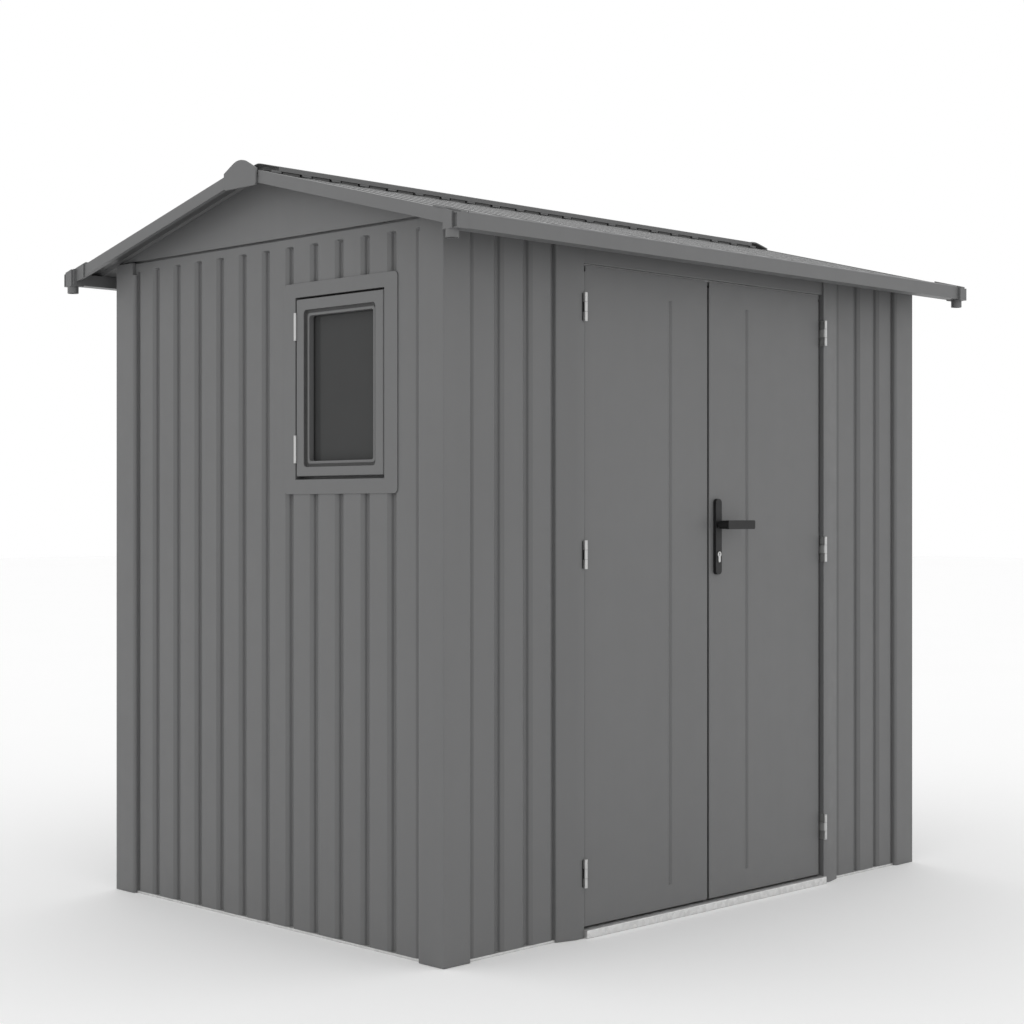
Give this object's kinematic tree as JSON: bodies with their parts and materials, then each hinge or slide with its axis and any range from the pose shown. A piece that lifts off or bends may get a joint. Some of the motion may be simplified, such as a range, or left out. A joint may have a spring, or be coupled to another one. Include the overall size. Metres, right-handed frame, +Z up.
{
  "type": "metal tool shed",
  "caption": "Free-standing metal garden tool shed with grooved sheet walls, twin hinged doors with a lever handle, a side window and a low pitched ribbed roof with box gutters.",
  "frame": {"origin": "middle of the footprint at ground level", "axes": "+X along the door front to the right as seen from outside the doors, +Y from the door front to the back, +Z up"},
  "size_m": [2.383, 1.824, 2.197],
  "materials": {
    "grey_sheet": "satin coil-coated grey",
    "galvanised": "dull galvanised zinc",
    "pane": "clear plastic pane over a dark inside",
    "bright_steel": "satin bright steel",
    "grey_moulding": "moulded grey plastic",
    "black_metal": "satin black"
  },
  "bodies": {
    "shed": {"front_left_post": "grey_sheet", "front_right_post": "grey_sheet", "back_left_post": "grey_sheet", "back_right_post": "grey_sheet", "left_base_rail": "galvanised", "right_base_rail": "galvanised", "back_base_rail": "galvanised", "front_base_rails": "galvanised", "door_sill": "galvanised", "front_left_wall": "grey_sheet", "front_right_wall": "grey_sheet", "left_wall": "grey_sheet", "right_wall": "grey_sheet", "back_wall": "grey_sheet", "left_gable": "grey_sheet", "right_gable": "grey_sheet", "tie_rails": "grey_sheet", "left_jamb": "grey_sheet", "right_jamb": "grey_sheet", "door_header": "grey_sheet", "window_surround": "grey_sheet", "window_casement": "grey_sheet", "window_glass": "pane", "window_hinges": "bright_steel", "front_roof": "grey_sheet", "back_roof": "grey_sheet", "ridge_cap": "grey_sheet", "ridge_end_caps": "grey_moulding", "left_barge_boards": "grey_sheet", "right_barge_boards": "grey_sheet", "front_gutter": "grey_sheet", "back_gutter": "grey_sheet", "front_left_gutter_cap": "grey_moulding", "front_right_gutter_cap": "grey_moulding", "back_left_gutter_cap": "grey_moulding", "back_right_gutter_cap": "grey_moulding", "left_frame_hinges": "bright_steel", "right_frame_hinges": "bright_steel"},
    "left_door": {"left_door_leaf": "grey_sheet", "left_door_hinges": "bright_steel"},
    "right_door": {"right_door_leaf": "grey_sheet", "right_door_hinges": "bright_steel", "handle_plate": "black_metal", "lock_cylinder": "bright_steel"},
    "lever": {"door_lever": "black_metal"}
  },
  "joints": [
    {"name": "left_door_hinge", "type": "hinge", "parent": "shed", "child": "left_door", "pos_m": [-0.5655, -0.777, 1.073], "axis": [0, 0, -1], "range_deg": [0, 120]},
    {"name": "right_door_hinge", "type": "hinge", "parent": "shed", "child": "right_door", "pos_m": [0.5655, -0.777, 1.073], "axis": [0, 0, 1], "range_deg": [0, 120]},
    {"name": "lever_turn", "type": "hinge", "parent": "right_door", "child": "lever", "pos_m": [0.032, -0.79, 1.154], "axis": [0, 1, 0], "range_deg": [0, 45], "stiffness_Nm_per_rad": 1, "springref_deg": -17.19}
  ]
}
